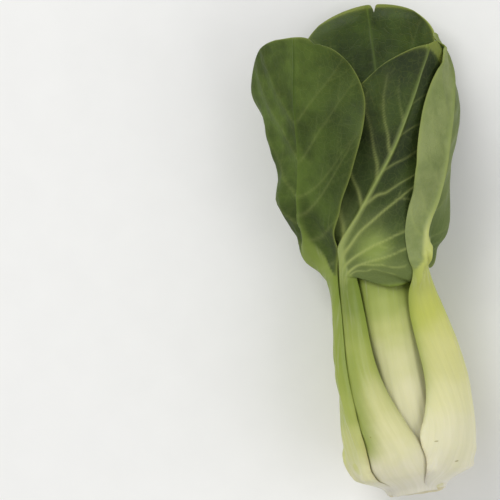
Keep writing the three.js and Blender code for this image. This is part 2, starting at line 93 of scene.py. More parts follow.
LEAVES = [
  { "name": "heart_leaf_1", "mid": [[10, 20], [60, 30], [150, 40]], "r": HEART_R, "thick": HEART_T, "half": [[10, 4], [30, 4.6], [60, 4.4], [85, 4]], "base": 12, "neck": 74, "wide": 96, "tip": 116, "blade": 9, "bend": 1 / 11, "full": 1, "lobe": [0, 0], "wave": [0.4, 2.5, 0.3] },
  { "name": "heart_leaf_2", "mid": [[10, 158], [60, 162], [150, 150]], "r": HEART_R, "thick": HEART_T, "half": [[10, 4.4], [30, 5], [60, 4.8], [85, 4.4]], "base": 11.5, "neck": 78, "wide": 102, "tip": 126, "blade": 12, "bend": 1 / 14, "full": 1, "lobe": [0, 0], "wave": [0.5, 2.5, 1.3] },
  { "name": "heart_leaf_3", "mid": [[10, 278], [60, 282], [150, 275]], "r": HEART_R, "thick": HEART_T, "half": [[10, 5], [30, 5.6], [60, 5.4], [88, 5]], "base": 11, "neck": 82, "wide": 108, "tip": 136, "blade": 15, "bend": 1 / 18, "full": 1, "lobe": [0, 0], "wave": [0.6, 2.4, 2.3] },
  { "name": "inner_leaf_right", "mid": [[8, 335], [50, 335], [100, 338], [180, 345]], "r": INNER_R, "thick": INNER_T, "half": [[8, 7.5], [24, 9], [45, 8.4], [70, 7.4], [92, 6.6]], "base": 8.5, "neck": 88, "wide": 120, "tip": 154, "blade": 19, "bend": 1 / 24, "full": 1, "lobe": [0.5, 1], "wave": [0.8, 2.6, 2.1] },
  { "name": "inner_leaf_back", "mid": [[8, 222], [50, 224], [100, 228], [180, 232]], "r": INNER_R, "thick": INNER_T, "half": [[8, 8], [24, 9.6], [45, 9], [70, 8], [92, 7]], "base": 8, "neck": 90, "wide": 124, "tip": 162, "blade": 22, "bend": 1 / 28, "full": 1, "lobe": [0.5, 1], "wave": [0.9, 2.6, 4.0] },
  { "name": "inner_leaf_front", "mid": [[8, 82], [40, 87], [70, 93], [90, 95], [180, 95]], "r": [[8, 7], [14, 12], [20, 14.6], [30, 15.8], [45, 15.8], [60, 14.8], [82, 13.4], [95, 13], [117, 15], [141, 19], [175, 23]], "thick": SECOND_T, "half": [[8, 9], [20, 12], [35, 12.2], [60, 12.4], [82, 12.4], [95, 12], [106, 11]], "base": 7, "neck": 106, "wide": 140, "tip": 170, "blade": 22, "bend": 1 / 30, "full": 1, "lobe": [0.5, 1], "wave": [1.0, 2.6, 0.8] },
  { "name": "back_leaf", "mid": [[6, 284], [50, 285], [100, 286], [150, 286.5], [215, 285.5]], "r": [[6, 10], [10, 11], [20, 13], [41, 13.4], [60, 12.2], [82, 11], [95, 11.6], [117, 16], [141, 22], [165, 27], [190, 30.5], [215, 32]], "thick": SECOND_T, "half": [[6, 11], [20, 13], [45, 12], [70, 10.4], [96, 9]], "base": 5.5, "neck": 102, "wide": 198, "tip": 215.8, "blade": 31, "bend": 1 / 90, "full": 1.5, "lobe": [0, 0], "wave": [1.3, 2.2, 1.9] },
  { "name": "right_low_leaf", "mid": [[4, -8], [40, -4], [60, 0], [80, 1], [95, 2], [120, 3], [160, 3]], "r": [[4, 10.6], [9, 12.4], [15, 15.4], [20, 16.8], [30, 18.4], [41, 19.6], [55, 20.4], [69, 19.4], [82, 17.6], [95, 15.6], [117, 16.4], [141, 19.5], [165, 22]], "thick": SECOND_T, "half": [[4, 11], [12, 14], [20, 15.5], [45, 13.5], [75, 10.4], [96, 8.6]], "base": 4.5, "neck": 97, "wide": 126, "tip": 156, "blade": 14, "bend": 1 / 24, "full": 1, "lobe": [0.5, 1], "wave": [1.2, 2.5, 3.3] },
  { "name": "left_low_leaf", "mid": [[4, 200], [40, 204], [90, 208], [190, 205]], "r": [[4, 11], [9, 13], [15, 15.6], [20, 16.4], [30, 16.8], [41, 16.4], [55, 15.4], [69, 14.2], [82, 13.4], [95, 13.2], [117, 17], [141, 24], [165, 29.5], [190, 33]], "thick": SECOND_T, "half": [[4, 10], [12, 12.5], [20, 13.5], [45, 12], [75, 10], [96, 8.6]], "base": 4.5, "neck": 98, "wide": 138, "tip": 176, "blade": 25, "bend": 1 / 40, "full": 1, "lobe": [0.5, 1], "wave": [1.3, 2.5, 5.0] },
  { "name": "under_leaf_left", "mid": [[4, 239], [40, 239], [85, 236], [105, 230], [120, 224], [150, 218], [190, 218]], "r": [[3, 14], [9, 19], [15, 23.4], [20, 25], [30, 25.6], [41, 25], [55, 23], [69, 20.8], [82, 19], [95, 18.6], [105, 20.5], [117, 24.5], [141, 33], [165, 37.5], [190, 39.5], [215, 40]], "thick": OUTER_T, "half": [[3, 11], [9, 14.5], [20, 18], [45, 14.5], [75, 11], [96, 9.4]], "base": 3, "neck": 100, "wide": 146, "tip": 194, "blade": 27, "bend": 1 / 70, "full": 1.2, "lobe": [0, 0], "wave": [1.0, 2.3, 0.9] },
  { "name": "under_leaf_right", "mid": [[4, 301], [40, 301], [80, 299], [100, 294], [120, 284], [150, 271], [190, 269]], "r": [[3, 14], [9, 18.6], [15, 22.4], [20, 23.6], [30, 24], [41, 23.5], [55, 22.2], [69, 20.2], [82, 18.8], [95, 18.4], [105, 20.5], [117, 26], [141, 37], [165, 40.8], [190, 41.8], [215, 42.4]], "thick": OUTER_T, "half": [[3, 11], [9, 14.5], [20, 18], [45, 14.5], [75, 11], [96, 9.4]], "base": 2.8, "neck": 99, "wide": 143, "tip": 190, "blade": 28, "bend": 1 / 400, "full": 1.2, "lobe": [0, 0], "wave": [0.6, 2.3, 2.7] },
  { "name": "front_leaf", "mid": [[3, 104], [9.5, 107.5], [14, 109], [19, 110], [26, 115], [33, 121], [46, 132], [65, 146], [80, 153.5], [92, 158], [100, 158], [108, 149], [115, 135], [120, 123], [125, 111.5], [130, 102], [135, 93.5], [145, 78.5], [153, 69], [162, 61], [172, 53], [181, 47], [194, 39]], "r": [[3, 14], [9, 18.6], [15, 22.4], [20, 23.6], [30, 24], [41, 23.5], [55, 22.2], [69, 20.2], [82, 18.8], [95, 18], [105, 18.4], [117, 20.5], [130, 23.8], [144, 27.2], [165, 33], [180, 37.5], [195, 40.5]], "thick": OUTER_T, "half": [[3, 10], [9.5, 13.6], [14, 14], [19, 13.3], [26, 11.8], [33, 11], [46, 9.8], [65, 9], [86, 8.2], [100, 7.6]], "base": 2.4, "neck": 100, "wide": 138, "tip": 194, "blade": 31, "bend": [[100, 1 / 31], [150, 1 / 31], [178, 1 / 60], [195, 1 / 70]], "full": 0.7, "lobe": [13, 26], "ease": 12, "wave": [1.2, 2.4, 0.4] },
  { "name": "right_leaf", "mid": [[3, 31], [9, 30], [15, 30], [20, 29], [33, 27.5], [45, 29], [58, 33.5], [80, 40], [92, 43.5], [99, 46.5], [104, 49.5], [112, 48], [119, 41.5], [126, 34], [133, 31], [142, 29.5], [149, 29], [160, 25], [170, 19], [183, 10], [200, 9]], "r": [[3, 13], [9, 16.4], [15, 20.6], [20, 22.8], [30, 24], [41, 23.5], [55, 22.2], [69, 20.2], [82, 18.8], [95, 18.8], [104, 21.2], [115, 25.6], [127, 30.4], [144, 36.4], [160, 39.8], [180, 41.2], [190, 39.8], [198, 36.5]], "thick": OUTER_T, "half": [[3, 9], [9, 12.6], [15, 17], [20, 20.6], [26, 21.6], [33, 19.5], [45, 15.2], [58, 11.8], [80, 9], [90, 8], [99, 6.2]], "base": 2.6, "neck": 99, "wide": 142, "tip": 200, "blade": 17.8, "bend": 1 / 33, "full": 2.3, "lobe": [0, 15], "wave": [1.2, 2.2, 1.1] },
  { "name": "left_leaf", "mid": [[4, 163], [12, 162], [20, 163], [33, 169], [46, 176], [65, 186], [86, 191], [98, 188], [110, 178], [122, 167], [135, 157.5], [147, 150], [160, 144], [180, 137], [206, 128.5]], "r": [[4, 13], [9, 16.8], [15, 20.8], [20, 22.6], [30, 23.2], [41, 22.4], [55, 20.8], [69, 19.2], [82, 18.2], [95, 18.2], [105, 19.4], [117, 23], [141, 32], [165, 37], [190, 40], [215, 41]], "thick": OUTER_T, "half": [[4, 6.5], [12, 9.2], [20, 11.8], [30, 13], [45, 13.6], [75, 11.2], [98, 8.8]], "base": 2.8, "neck": 102, "wide": 180, "tip": 206, "blade": 36, "bend": 1 / 70, "full": 1.6, "lobe": [0, 0], "wave": [1.4, 2.2, 2.6] },
]

# ------------------------------------------------------------------ looks
# Display colours, 0-255.
RIB = (166, 176, 102)
BROWN = (150, 112, 52)
GREEN_IN = ((44, 60, 18), (74, 95, 33))  # upper face of a blade, dark and light
GREEN_OUT = ((84, 102, 44), (114, 131, 66))  # under face
# The stalk's colours by place: 0 is its foot, 0.5 its top and 1 the far end of the midrib.
STALK = [(0.0, (228, 223, 204)), (0.06, (226, 221, 190)), (0.15, (216, 213, 164)), (0.28, (196, 197, 120)), (0.42, (174, 181, 90)), (0.54, (158, 169, 86)), (0.7, (138, 153, 78)), (1.0, (110, 128, 62))]
# Some entries paint light and shade into the colours: a shaded half of the under face, a shaded flank of the stalk and
# a lit round patch.
PAINT = {
    "left_leaf": {"out": ((56, 72, 22), (89, 110, 42)), "vein": 0.2, "rib": 0.55, "shaded_half": (0.5, (38, 53, 15), 0.0, 0.0), "spot": (2.9, 14.7, 3.0), "stalk": [(0.0, (228, 223, 204)), (0.04, (218, 215, 169)), (0.095, (194, 197, 126)), (0.17, (168, 178, 94)), (0.32, (148, 161, 74)), (0.5, (132, 148, 68)), (0.62, (96, 116, 46)), (1.0, (66, 86, 30))]},
    "right_leaf": {"out": ((112, 127, 70), (143, 154, 98)), "vein": 0.22, "rib": 0.8, "shaded_half": (0.85, (81, 100, 46), 1.12, 1.5), "marks": [(-15.3, 21.6, 1.0, 0.35), (-4.3, 12.5, 0.9, 0.4)], "stalk": [(0.0, (229, 224, 206)), (0.1, (228, 224, 188)), (0.2, (224, 221, 168)), (0.3, (213, 211, 142)), (0.4, (192, 196, 98)), (0.5, (188, 193, 106)), (0.56, (184, 190, 114)), (0.64, (150, 162, 94)), (1.0, (120, 135, 76))]},
    "front_leaf": {"out": ((33, 46, 16), (58, 76, 27)), "vein": 0.9, "rib": 0.72, "young_foot": (0.85, (106, 121, 64)), "painted_glow": (13.0, 117.0, 11.0, (136, 153, 74)), "shaded_flank": (0.9, (146, 160, 74), -1.12, -0.12), "marks": [(-3.0, 29.2, 0.4, 0.4)], "stalk": [(0.0, (229, 224, 206)), (0.05, (227, 222, 192)), (0.12, (217, 214, 162)), (0.2, (205, 204, 142)), (0.29, (180, 185, 104)), (0.38, (146, 158, 76)), (0.46, (116, 132, 58)), (0.52, (136, 151, 80)), (0.58, (154, 166, 98)), (0.7, (140, 154, 84)), (1.0, (112, 130, 62))]},
    "back_leaf": {"in": ((42, 58, 17), (70, 91, 32)), "vein": 0.25, "rib": 0.6, "stalk": [(0.0, (228, 223, 204)), (0.15, (216, 213, 164)), (0.3, (190, 192, 115)), (0.45, (165, 173, 88)), (0.6, (118, 136, 58)), (1.0, (84, 104, 38))]},
    "inner_leaf_front": {"in": ((58, 77, 24), (92, 113, 40)), "vein": 0.6, "rim": 2.2, "stalk": [(0.0, (226, 222, 196)), (0.18, (224, 220, 178)), (0.26, (214, 212, 160)), (0.335, (190, 194, 122)), (0.4, (164, 174, 95)), (0.46, (142, 156, 76)), (1.0, (112, 130, 60))]},
    "left_low_leaf": {"stalk": [(0.0, (220, 217, 186)), (0.06, (176, 183, 96)), (0.12, (146, 160, 62)), (0.3, (120, 140, 50)), (0.5, (120, 138, 56)), (1.0, (106, 126, 56))]},
    "heart_leaf_1": {"in": ((128, 144, 62), (160, 172, 84)), "out": ((140, 154, 74), (172, 182, 100)), "vein": 0.5},
    "heart_leaf_2": {"in": ((116, 134, 56), (148, 162, 76)), "out": ((130, 146, 70), (162, 174, 94)), "vein": 0.5},
    "heart_leaf_3": {"in": ((100, 120, 50), (136, 152, 70)), "out": ((118, 136, 66), (152, 166, 90)), "vein": 0.5},
}
VEIN_STEPS = [(0.0, 62), (0.05, 57), (0.13, 52), (0.23, 48), (0.35, 45), (0.49, 41), (0.64, 38)]
# The front leaf's veins are drawn one by one: points (across, along), width at
# both ends, strength.
FRONT_VEINS = [
    ([(0.6, 96.0), (1.0, 103.0), (1.8, 108.8), (3.2, 114.9), (4.0, 120.2), (6.3, 125.7), (8.8, 131.0), (12.5, 137.2), (16.5, 143.0), (22.0, 149.0), (26.0, 155.0)], 0.95, 0.3, 0.95),
    ([(1.4, 93.0), (1.9, 99.0), (2.9, 104.4), (6.8, 110.5), (9.7, 114.7), (12.6, 118.8), (15.3, 122.0), (18.9, 126.5), (23.0, 131.0), (27.5, 135.5)], 0.9, 0.3, 0.95),
    ([(2.0, 91.0), (2.6, 95.5), (3.8, 100.0), (7.9, 105.7), (10.5, 108.3), (15.0, 112.7), (18.5, 115.9), (21.6, 119.4), (24.4, 122.9), (28.0, 125.5)], 0.9, 0.3, 1.0),
    ([(10.5, 108.3), (16.0, 110.8), (20.1, 113.1), (24.7, 114.2), (28.4, 117.2)], 0.5, 0.25, 0.7),
    ([(3.6, 96.5), (6.0, 100.8), (9.0, 103.8), (13.4, 105.3), (16.9, 108.4), (22.0, 109.0), (26.0, 110.0)], 0.55, 0.25, 0.6),
    ([(13.2, 119.3), (17.4, 120.2), (22.0, 123.0)], 0.4, 0.2, 0.45),
    ([(8.8, 131.2), (11.0, 135.6), (12.2, 141.0)], 0.4, 0.2, 0.4),
    ([(12.5, 137.2), (17.0, 138.8), (22.0, 141.0)], 0.4, 0.2, 0.4),
    ([(0.3, 129.5), (3.0, 134.4), (6.0, 136.7), (9.6, 141.6), (14.0, 146.4), (18.5, 151.5), (22.5, 159.0)], 0.7, 0.22, 0.62),
    ([(0.3, 143.0), (3.7, 147.3), (7.4, 150.6), (12.0, 155.6), (17.0, 161.0), (21.0, 168.0)], 0.55, 0.2, 0.42),
    ([(0.2, 157.0), (4.0, 161.0), (9.0, 165.5), (14.0, 171.0), (18.0, 177.5)], 0.45, 0.2, 0.3),
    ([(0.0, 169.5), (3.6, 173.2), (8.0, 177.5), (12.0, 182.5)], 0.4, 0.2, 0.22),
    ([(-0.4, 139.5), (-3.0, 144.2), (-6.6, 148.0), (-9.5, 151.7), (-13.5, 157.5), (-18.0, 163.0), (-21.0, 169.0)], 0.6, 0.22, 0.6),
    ([(-0.2, 149.8), (-2.2, 152.0), (-4.4, 155.8), (-7.8, 160.2), (-10.4, 164.3), (-13.5, 170.0), (-16.0, 177.0)], 0.6, 0.22, 0.6),
    ([(-0.4, 163.0), (-3.4, 167.5), (-7.0, 172.4), (-10.0, 178.5)], 0.45, 0.2, 0.3),
    ([(-0.3, 128.0), (-5.0, 132.5), (-10.5, 136.5), (-16.0, 142.0), (-22.0, 147.5), (-26.0, 154.0)], 0.7, 0.25, 0.7),
    ([(-0.6, 116.0), (-5.0, 121.0), (-11.0, 125.5), (-17.0, 130.5), (-24.0, 136.0), (-29.0, 142.0)], 0.8, 0.25, 0.8),
    ([(-1.4, 105.0), (-5.0, 110.5), (-11.0, 115.5), (-18.0, 120.0), (-25.0, 125.0), (-29.5, 130.0)], 0.9, 0.3, 0.9),
    ([(-2.4, 97.0), (-4.5, 102.0), (-9.0, 107.0), (-15.0, 111.0), (-22.0, 115.0), (-28.0, 119.5)], 0.9, 0.3, 0.9),
]

# Small notches in the margin at a tip, or bulges where the depth is below 0: place
# across, half width and depth, in mm.
NOTCHES = {"back_leaf": [(-2.8, 0.65, 4.4), (0.0, 30.0, -1.3)], "left_leaf": [(10.5, 1.5, 1.3), (14.0, 4.0, 0.9)], "front_leaf": [(12.5, 7.5, -3.6), (8.0, 5.0, -3.0), (19.5, 5.0, -2.6)]}

RAD = math.pi / 180.0


def curve(table, x):
    """A smooth curve through [x, y] pairs, flat beyond its ends."""
    px = np.array([p[0] for p in table], float)
    py = np.array([p[1] for p in table], float)
    n = len(px)
    slope = np.zeros(n)
    slope[1:-1] = (py[2:] - py[:-2]) / (px[2:] - px[:-2])
    slope[0] = 0.5 * (py[1] - py[0]) / (px[1] - px[0])
    slope[-1] = 0.5 * (py[-1] - py[-2]) / (px[-1] - px[-2])
    x = np.clip(np.asarray(x, float), px[0], px[-1])
    k = np.clip(np.searchsorted(px, x, side="left") - 1, 0, n - 2)
    h = px[k + 1] - px[k]
    t = (x - px[k]) / h
    a = t * t * (3 - 2 * t)
    return py[k] + (py[k + 1] - py[k]) * a + h * (t * (1 - t) ** 2 * slope[k] - t * t * (1 - t) * slope[k + 1])


def smooth(x, a, b):
    t = np.clip((np.asarray(x, float) - a) / (b - a), 0.0, 1.0)
    return t * t * (3 - 2 * t)


def lie(angle, s, r, lowest):
    """Cylindrical place to the row frame, in metres."""
    f = smooth(s, ROUND_TO_S, FLAT_FROM_S)
    up = BULB_UP + (BLADES_UP - BULB_UP) * f
    down = BULB_DOWN + (BLADES_DOWN - BULB_DOWN) * f
    d = r * np.sin(angle)
    e = 5.0
    z = 0.5 * (up + down) * d + 0.5 * (up - down) * (np.sqrt(d * d + e * e) - e)
    z = np.maximum(lowest, AXIS_HEIGHT + z)
    x = r * np.cos(angle)
    c, n = math.cos(LEAN_DEG * RAD), math.sin(LEAN_DEG * RAD)
    return np.stack([HEAD_X + c * x - n * s, HEAD_Y + n * x + c * s, z], -1) * 0.001


# -------------------------------------------- the room that is already taken
STEP_A = 2.0
NA = 180
NS = 232
taken = np.zeros((NS, NA))
crown_s = np.arange(NS, dtype=float)
taken[:] = np.where(crown_s <= CROWN[-1][0] + 1, curve(CROWN, crown_s), 0.0)[:, None]


def taken_at(angle, s):
    a = np.mod(angle / RAD, 360.0) / STEP_A
    y = np.clip(s, 0.0, NS - 1.001)
    i = np.floor(a).astype(int) % NA
    j = np.floor(y).astype(int)
    k = (i + 1) % NA
    return np.maximum(np.maximum(taken[j, i], taken[j, k]), np.maximum(taken[j + 1, i], taken[j + 1, k]))


def take(angle, s, r):
    i = np.floor(np.mod(angle / RAD, 360.0) / STEP_A).astype(int) % NA
    j = np.floor(s).astype(int)
    ok = (j >= 0) & (j < NS)
    np.maximum.at(taken, (j[ok], i[ok]), r[ok])


def finer(field, f, axis):
    """The field on a grid f times as fine along an axis, through its points."""
    field = np.moveaxis(field, axis, 0)
    n = field.shape[0]
    x = np.arange((n - 1) * f + 1) / f
    i = np.minimum(np.floor(x).astype(int), n - 2)
    t = (x - i).reshape((-1,) + (1,) * (field.ndim - 1))
    p0, p1, p2, p3 = (field[np.clip(i + k, 0, n - 1)] for k in (-1, 0, 1, 2))
    out = 0.5 * (2 * p1 + (p2 - p0) * t + (2 * p0 - 5 * p1 + 4 * p2 - p3) * t**2 + (3 * p1 - p0 - 3 * p2 + p3) * t**3)
    return np.moveaxis(out, 0, axis)


# ------------------------------------------------------------------ a leaf
STALK_ROWS, LOW_ROWS, TOP_ROWS, ACROSS = 26, 16, 18, 24
FOOT = 1.5  # how far a foot runs on into the crown
NEAR = 0.3  # between two leaves that lie against each other


def columns(n):
    t = np.linspace(-1, 1, n + 1)
    return 0.72 * t + 0.28 * np.sin(t * math.pi / 2)


def layout(leaf, fine):
    """Along and across the leaf's own surface, in mm, for every point of its net."""
    u = columns(ACROSS * fine)[None, :]
    a_rows, b_rows, c_rows = STALK_ROWS * fine, LOW_ROWS * fine, TOP_ROWS * fine
    q = (np.arange(a_rows + 1) / a_rows)[:, None] ** 1.15
    along_a = leaf["base"] - FOOT + (leaf["neck"] - leaf["base"] + FOOT) * q + 0 * u
    across_a = u * curve(leaf["half"], along_a)
    q = (np.arange(1, b_rows + 1) / b_rows)[:, None]
    w = float(curve(leaf["half"], leaf["neck"]))
    along_b = leaf["neck"] + (leaf["wide"] - leaf["neck"]) * q - np.where(u > 0, leaf["lobe"][1], leaf["lobe"][0]) * u * u * np.sin(math.pi * q**1.1)
    across_b = u * (w + (leaf["blade"] - w) * np.sin(q * math.pi / 2) ** leaf["full"])
    if leaf["name"] == "front_leaf":
        across_b = across_b * np.where(u > 0, 1 + u * u * (0.18 * np.exp(-(((q - 0.54) / 0.22) ** 2)) + 0.08 * np.exp(-(((q - 0.8) / 0.1) ** 2))), 1.0)
    if leaf["name"] == "right_leaf":
        along_b = along_b - np.where(u > 0, 6.0, 0.0) * u * u * np.sin(math.pi * q**1.1)
        across_b = np.where(u > 0, u * (w + (leaf["blade"] - w) * np.sin(q * math.pi / 2) ** 1.3), across_b)
    if leaf["name"] == "inner_leaf_front":
        across_a = across_a * np.where(u < 0, 1 + 0.3 * smooth(along_a, 55, 80), 1.0)
    if leaf["name"].startswith("under_leaf"):
        across_a = across_a * (1 + (0.3 if leaf["name"].endswith("left") else 0.2) * (1 - smooth(along_a, 14, 34)))
    else:
        across_a = across_a * (1 + 0.14 * (1 - smooth(along_a, 5, 17)))
    q2 = (np.arange(1, c_rows + 1) / c_rows)[:, None]
    along_c = leaf["wide"] + (leaf["tip"] - leaf["wide"]) * q2 * np.sqrt(1 - 0.5 * u * u)
    across_c = u * leaf["blade"] * np.sqrt(1 - 0.5 * q2 * q2)
    if leaf["name"] == "back_leaf":
        across_c = across_c * np.where(u < 0, 1.02, 1.0)
    for at, width, depth in NOTCHES.get(leaf["name"], []):
        along_c = along_c - depth * np.exp(-(np.abs((across_c - at) / width) ** 1.3)) * q2**7
    along = np.concatenate([along_a, along_b, along_c])
    across = np.concatenate([across_a, across_b, across_c])
    blade = np.concatenate([0 * along_a, q + 0 * u, 1 + 0 * along_c])
    row = np.arange(along.shape[0])[:, None] + 0 * u
    return along, across, blade, u + 0 * along, row


def waves(seed, n, low, high):
    """A few fixed random waves: [wavelength, direction, phase]."""
    g = np.random.default_rng(seed)
    return [(g.uniform(low, high), g.uniform(0, math.pi), g.uniform(0, 2 * math.pi)) for _ in range(n)]


def wobble(seed, x, y, low, high, n=5):
    out = 0.0
    for length, turn, phase in waves(seed, n, low, high):
        out = out + np.sin(2 * math.pi * (x * math.cos(turn) + y * math.sin(turn)) / length + phase)
    return out / n**0.5


def rest_net(leaf, number, along, across, blade, u):
    """Where the leaf lies before it drapes: angle, s and inner radius."""
    ease = leaf.get("ease", 5.0 if leaf["name"] == "right_leaf" else 1.5)
    slope = (curve(leaf["mid"], along + ease) - curve(leaf["mid"], along - ease)) * RAD / (2 * ease)
    r_mid = curve(leaf["r"], along)
    tilt = np.arctan(-r_mid * slope)
    f = smooth(along, leaf["neck"] - 8, leaf["neck"] + 30)
    bend = (1 - f) / (r_mid + 2) + f * (curve(leaf["bend"], along) if isinstance(leaf["bend"], list) else leaf["bend"])
    if leaf["name"] == "right_leaf":
        bend = bend * np.where(u > 0, 1 - 0.85 * np.exp(-(((blade - 0.48) / 0.22) ** 2)), 1.0)
    arc = across * np.cos(tilt)
    s = along - across * np.sin(tilt)
    side = np.sin(bend * arc) / bend
    out = r_mid - (1 - np.cos(bend * arc)) / bend
    angle = curve(leaf["mid"], along) * RAD - np.arctan2(side, out)
    high, per, phase = leaf["wave"]
    wave = high * blade * np.abs(u) ** 1.6 * np.sin(2 * math.pi * per * along / 100 + phase + np.where(u > 0, 1.7, 0.0))
    r = np.maximum(2.2, np.hypot(side, out) + wave)
    return angle, s, r


def drape(angle, s, rest):
    """How far each point of the net has to move out to clear what is there."""
    push = np.zeros_like(rest)
    for step in range(70):
        inner = rest + push
        field = np.stack([inner * np.cos(angle), inner * np.sin(angle), s])
        field = np.stack([finer_linear(f) for f in field])
        short = taken_at(np.arctan2(field[1], field[0]), field[2]) + NEAR - np.hypot(field[0], field[1])
        short = np.maximum(short, 0)
        if short.max() < 0.03:
            break
        pad = np.pad(short, 1)
        need = np.zeros_like(rest)
        for di, dj, w in ((0, 0, 1), (1, 0, 0.8), (-1, 0, 0.8), (0, 1, 0.8), (0, -1, 0.8), (1, 1, 0.4), (1, -1, 0.4), (-1, 1, 0.4), (-1, -1, 0.4)):
            need = np.maximum(need, w * pad[1 + di : pad.shape[0] - 1 + di, 1 + dj : pad.shape[1] - 1 + dj][::2, ::2])
        push = push + 1.01 * need
        if step < 34:
            p = np.pad(push, 1, mode="edge")
            near = 0.25 * (p[:-2, 1:-1] + p[2:, 1:-1] + p[1:-1, :-2] + p[1:-1, 2:])
            push = np.maximum(push, 0.965 * near)
    return push


def finer_linear(field):
    out = np.empty((2 * field.shape[0] - 1, 2 * field.shape[1] - 1))
    out[::2, ::2] = field
    out[1::2, ::2] = 0.5 * (field[1:] + field[:-1])
    out[:, 1::2] = 0.5 * (out[:, 2::2] + out[:, :-2:2])
    return out


def vein_lines(leaf, number):
    """The side veins as lines over (across, along), with their widths at both ends and their strength."""
    if leaf["name"] == "front_leaf":
        return [(finer(np.array(points), 4, 0), w0, w1, strength) for points, w0, w1, strength in FRONT_VEINS]
    g = np.random.default_rng(900 + number)
    lines = []
    length = leaf["tip"] - leaf["neck"]
    for side in (-1, 1):
        for k, (f, lean) in enumerate(VEIN_STEPS):
            lean = (lean + g.uniform(-5, 5)) * RAD
            start = leaf["neck"] - 3 + length * (f + g.uniform(-0.025, 0.025)) + (0.03 * length if side > 0 else 0)
            reach = leaf["blade"] * 1.02
            t = np.linspace(0, 1, 22)
            up = reach * (t / math.tan(lean) * (0.75 + 0.1 * g.uniform(-1, 1)) + 0.42 * t**2.2)
            off = side * max(0.0, 2.6 - 0.9 * k)
            x = off + side * (reach - abs(off)) * t + 0.5 * np.sin(t * 5 + g.uniform(0, 6)) * t
            y = start + up
            lines.append((np.stack([x, y], 1), 0.85 - 0.05 * k, 0.25, 1.0 - 0.07 * k))
            for at, turn, size in ((0.34, -34, 0.4), (0.5, 30, 0.34), (0.64, -32, 0.34), (0.78, 28, 0.26)):
                i = int((at + g.uniform(-0.04, 0.04)) * 21)
                d = np.array([x[i + 1] - x[i], y[i + 1] - y[i]])
                d /= np.hypot(*d)
                a = (turn + g.uniform(-6, 6)) * RAD * side
                e = np.array([d[0] * math.cos(-a) - d[1] * math.sin(-a), d[0] * math.sin(-a) + d[1] * math.cos(-a)])
                m = np.linspace(0, 1, 9)[:, None]
                run = reach * size
                points = np.array([x[i], y[i]]) + m * run * e + (m**2) * run * 0.2 * np.array([0, 1.0])
                lines.append((points, 0.42, 0.2, 0.4))
    return lines


def vein_field(leaf, number, along, across):
    """Vein strength, and the distance to the nearest main vein, in mm."""
    p = np.stack([across, along], -1).reshape(-1, 2)
    mask = np.zeros(len(p))
    near = np.full(len(p), 99.0)
    for points, w0, w1, strength in vein_lines(leaf, number):
        lo, hi = points.min(0) - 4.0, points.max(0) + 4.0
        pick = np.nonzero(((p >= lo) & (p <= hi)).all(1))[0]
        if not len(pick):
            continue
        q = p[pick]
        best = np.full(len(q), 99.0)
        at = np.zeros(len(q))
        n = len(points) - 1
        for i in range(n):
            a, d = points[i], points[i + 1] - points[i]
            t = np.clip(((q - a) @ d) / (d @ d), 0, 1)
            dist = np.hypot(*(q - a - t[:, None] * d).T)
            closer = dist < best
            best[closer] = dist[closer]
            at[closer] = (i + t[closer]) / n
        width = w1 + (w0 - w1) * (1 - at) ** 1.4
        mask[pick] = np.maximum(mask[pick], strength * (1 - 0.6 * at) * np.exp(-((best / width) ** 2)))
        if strength > 0.55:
            near[pick] = np.minimum(near[pick], best)
    near = np.minimum(near, np.abs(p[:, 0]))
    return mask.reshape(along.shape), near.reshape(along.shape)


